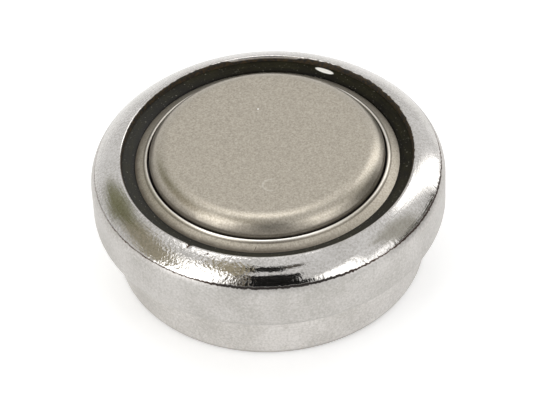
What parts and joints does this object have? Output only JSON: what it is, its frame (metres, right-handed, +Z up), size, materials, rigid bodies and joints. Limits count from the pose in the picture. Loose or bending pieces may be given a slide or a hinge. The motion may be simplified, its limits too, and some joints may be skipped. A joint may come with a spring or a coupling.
{
  "type": "silver oxide button cell",
  "caption": "Stepped round primary cell with a crimped steel can, a sealing gasket and a raised contact button.",
  "frame": {"origin": "centre of the flat base, which is the positive contact", "axes": "+Z up along the axis of revolution, from the base to the negative contact button; X and Y are alike"},
  "size_m": [0.0156, 0.0156, 0.0062],
  "materials": {
    "nickel_plated_can": "satin",
    "gasket_nylon": "satin",
    "nickel_clad_cap": "satin",
    "zinc_gel": "matte",
    "separator_fleece": "matte",
    "barrier_film": "satin",
    "ring_steel": "satin",
    "silver_oxide": "matte"
  },
  "bodies": {
    "root": {"positive_can": "nickel_plated_can", "sealing_gasket": "gasket_nylon", "negative_cap": "nickel_clad_cap", "zinc_anode": "zinc_gel", "absorbent_separator": "separator_fleece", "barrier_membrane": "barrier_film", "cathode_ring": "ring_steel", "cathode_pellet": "silver_oxide"}
  },
  "joints": []
}
